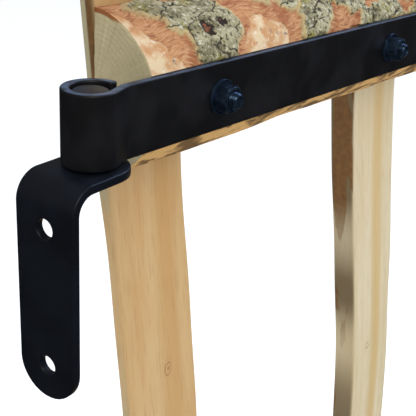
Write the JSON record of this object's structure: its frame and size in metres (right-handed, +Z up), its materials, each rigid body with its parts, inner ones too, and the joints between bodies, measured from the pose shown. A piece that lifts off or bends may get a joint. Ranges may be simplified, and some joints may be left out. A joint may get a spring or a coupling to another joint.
{
  "type": "garden gate leaf",
  "caption": "Rustic gate leaf of split pales nailed to half-round bark rails, hung on black strap hinges with pintle brackets for a post.",
  "frame": {"origin": "midway between the upper bracket's two fixing holes, on the face that meets the post", "axes": "+X from the post's face towards the hinge pin, +Y from the strap side to the pale side (back), +Z up along the pintles"},
  "size_m": [1.0202, 0.14, 0.9796],
  "materials": {
    "black_powder_coat": "satin black powder coat on hot-rolled flat bar",
    "black_zinc": "black passivated zinc on bolts and flange nuts",
    "galvanised_nail": "dull galvanised",
    "bark_log": "half-round log with grey-brown bark, sawn end grain",
    "split_pale_tan": "split face, warm tan",
    "split_pale_cream": "split face, cream"
  },
  "bodies": {
    "post_brackets": {"upper_bracket": "black_powder_coat", "upper_pintle": "black_powder_coat", "lower_bracket": "black_powder_coat", "lower_pintle": "black_powder_coat"},
    "leaf": {"upper_strap": "black_powder_coat", "upper_strap_nuts": "black_zinc", "upper_strap_bolts": "black_zinc", "lower_strap": "black_powder_coat", "lower_strap_nuts": "black_zinc", "lower_strap_bolts": "black_zinc", "upper_rail": "bark_log", "lower_rail": "bark_log", "pale_1": "split_pale_tan", "pale_2": "split_pale_cream", "pale_3": "split_pale_tan", "pale_4": "split_pale_cream", "upper_rail_nails": "galvanised_nail", "lower_rail_nails": "galvanised_nail"}
  },
  "joints": [
    {"name": "gate_swing", "type": "hinge", "parent": "post_brackets", "child": "leaf", "pos_m": [0.034, 0, 0.086], "axis": [0, 0, 1], "range_deg": [-106, 4]}
  ]
}
